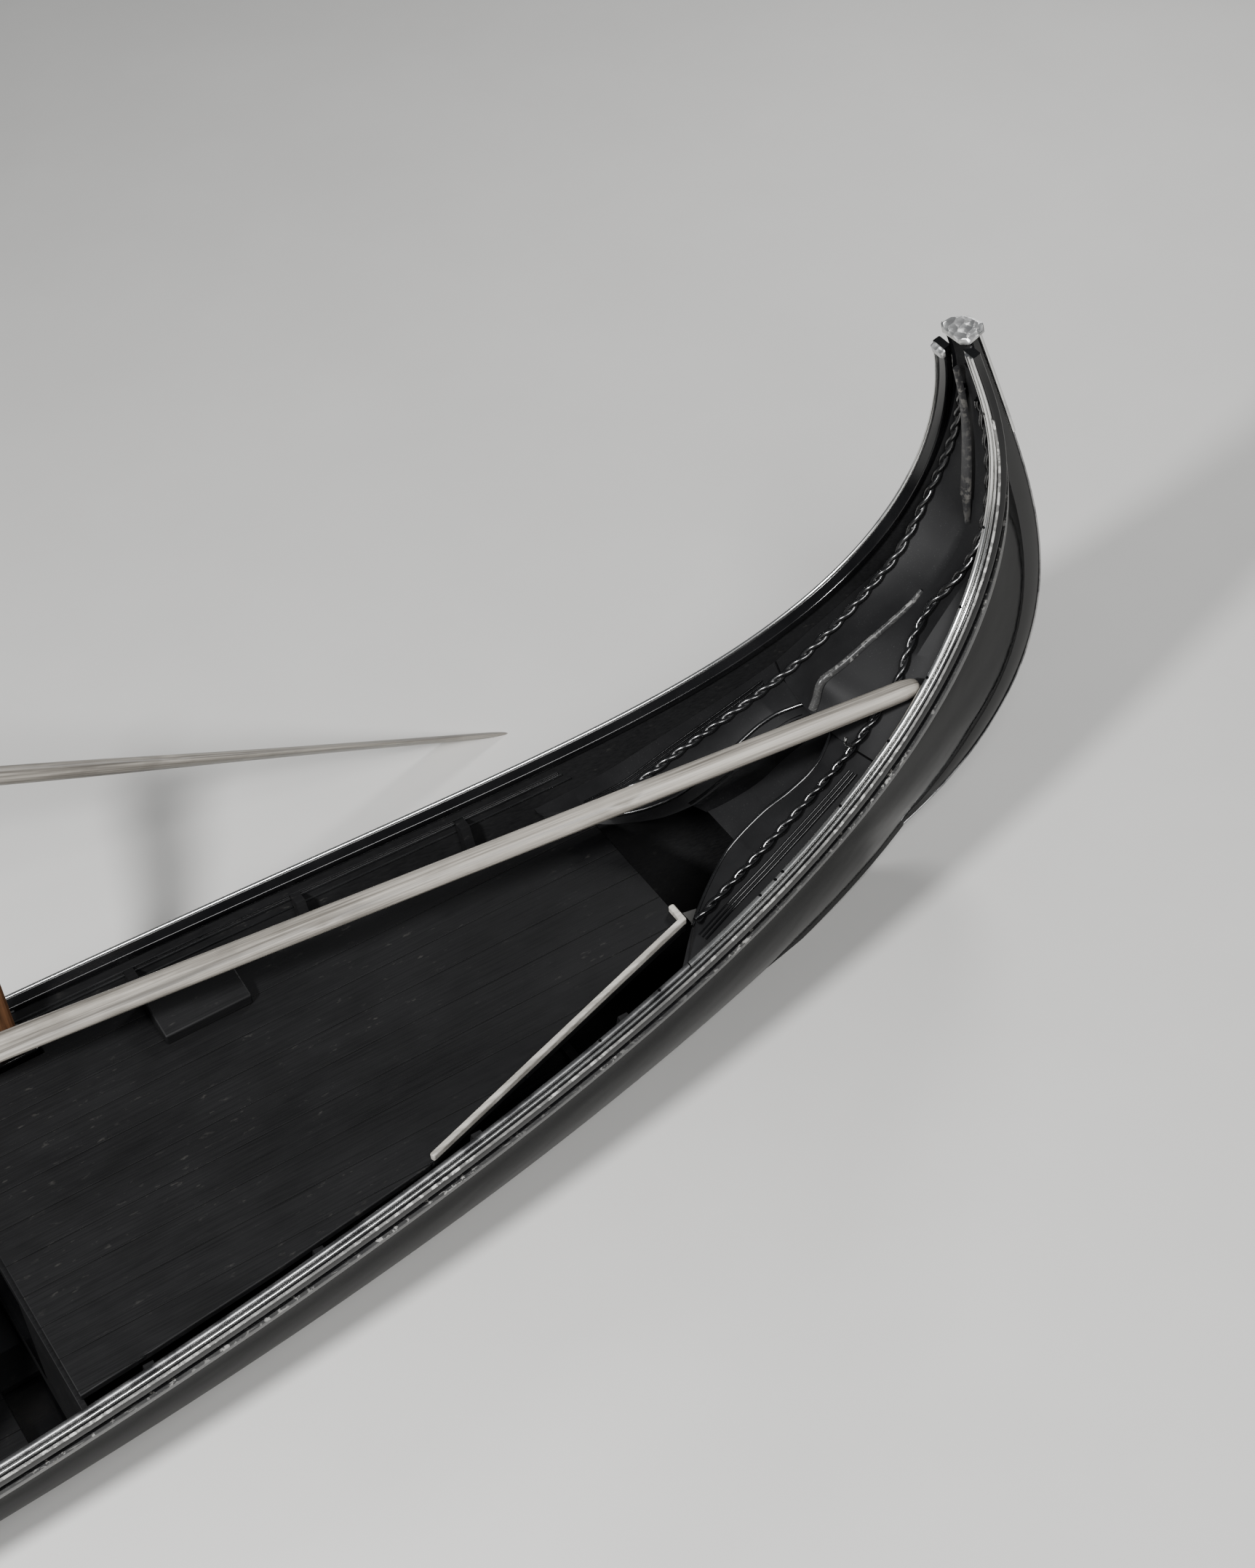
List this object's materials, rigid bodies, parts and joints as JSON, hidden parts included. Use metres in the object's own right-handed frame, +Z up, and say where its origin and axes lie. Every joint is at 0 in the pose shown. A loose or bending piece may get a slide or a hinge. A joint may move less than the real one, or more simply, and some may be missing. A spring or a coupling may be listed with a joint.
{
  "type": "venetian rowing boat with raised stern and comb-shaped bow iron",
  "caption": "Long flat-bottomed black rowing boat with a curved raised stern, gabled decks, a bow iron, seats, a crooked rowlock with its oar, and a spare oar.",
  "frame": {"origin": "on the flat of the bottom amidships, in the plane of the stern post and the stem", "axes": "+X towards the bow, +Y to port, +Z up"},
  "size_m": [10.8024, 2.0759, 2.2249],
  "materials": {
    "black_lacquer": "high-gloss black lacquer on wood",
    "worn_lacquer": "black lacquer, rubbed and chipped along its edges",
    "polished_steel": "polished steel with fine wear marks",
    "brass": "polished brass",
    "pale_wood": "bare pale wood, straight grain, weathered",
    "walnut": "oiled walnut",
    "dark_interior": "dark painted wood, satin",
    "upholstery": "dark woven cloth"
  },
  "bodies": {
    "hull": {"bottom_planking": "black_lacquer", "stern_post": "black_lacquer", "bow_stem": "black_lacquer", "side_planking_port": "black_lacquer", "side_planking_starboard": "black_lacquer", "gunwale_port": "black_lacquer", "gunwale_starboard": "black_lacquer", "wale_port": "worn_lacquer", "wale_starboard": "worn_lacquer", "rail_trim_port": "polished_steel", "rail_trim_starboard": "polished_steel", "stern_deck": "black_lacquer", "stern_well_deck": "black_lacquer", "stern_deck_front": "black_lacquer", "horn_spine": "worn_lacquer", "stern_rope_port": "black_lacquer", "stern_rope_starboard": "black_lacquer", "stern_side_deck_port": "black_lacquer", "stern_side_deck_starboard": "black_lacquer", "bow_deck": "black_lacquer", "bow_rope_port": "black_lacquer", "bow_rope_starboard": "black_lacquer", "floor_timbers": "dark_interior", "side_frames_port": "dark_interior", "side_frames_starboard": "dark_interior", "floorboards": "dark_interior", "aft_bulkhead": "black_lacquer", "fore_bulkhead": "black_lacquer", "platform": "dark_interior", "platform_edge_strip": "pale_wood", "foot_block": "worn_lacquer", "seat_base": "black_lacquer", "seat_cushion": "upholstery", "seat_back": "black_lacquer", "seat_back_pad": "upholstery", "bench_port": "black_lacquer", "bench_cushion_port": "upholstery", "bench_starboard": "black_lacquer", "bench_cushion_starboard": "upholstery", "fore_thwart": "black_lacquer", "bow_iron": "polished_steel", "stern_strap": "polished_steel", "stern_cap": "polished_steel", "rowlock": "walnut", "rowlock_block": "black_lacquer", "spare_oar": "pale_wood", "brass_finial_port": "brass", "brass_finial_starboard": "brass"},
    "working_oar": {"working_oar": "pale_wood"},
    "aft_door": {"aft_locker_door": "black_lacquer"},
    "fore_door": {"fore_locker_door": "black_lacquer"}
  },
  "joints": [
    {"name": "oar_sweep", "type": "hinge", "parent": "hull", "child": "working_oar", "pos_m": [-2.02, -0.8, 1.349], "axis": [0, 0, 1], "range_deg": [-17, 30]},
    {"name": "aft_door_hinge", "type": "hinge", "parent": "hull", "child": "aft_door", "pos_m": [-1.811, 0.3, 0.345], "axis": [0, 0, 1], "range_deg": [0, 95]},
    {"name": "fore_door_hinge", "type": "hinge", "parent": "hull", "child": "fore_door", "pos_m": [3.311, 0.21, 0.385], "axis": [0, 0, -1], "range_deg": [0, 95]}
  ]
}
